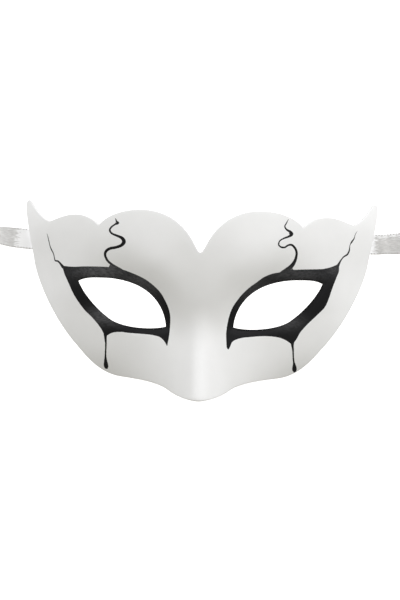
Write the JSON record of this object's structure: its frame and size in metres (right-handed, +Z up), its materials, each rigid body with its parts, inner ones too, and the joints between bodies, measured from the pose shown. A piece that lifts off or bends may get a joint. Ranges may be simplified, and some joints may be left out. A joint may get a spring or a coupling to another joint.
{
  "type": "carnival half mask",
  "caption": "Moulded half mask with scalloped top edge, eye holes, painted eye surrounds and two ribbon ties, lying face up.",
  "frame": {"origin": "centre of the mask's footprint on the surface that it lies on", "axes": "+X across the face to the right side of the picture, +Y towards the upper tips, +Z up; the mask lies face up, its face leaning 23 degrees towards -Y"},
  "size_m": [0.4449, 0.1314, 0.0612],
  "materials": {
    "shell_paint": "satin",
    "satin_ribbon": "satin"
  },
  "bodies": {
    "root": {"mask_shell": "shell_paint", "ribbon_right": "satin_ribbon", "ribbon_right_coil": "satin_ribbon", "ribbon_left": "satin_ribbon", "ribbon_left_coil": "satin_ribbon"}
  },
  "joints": []
}
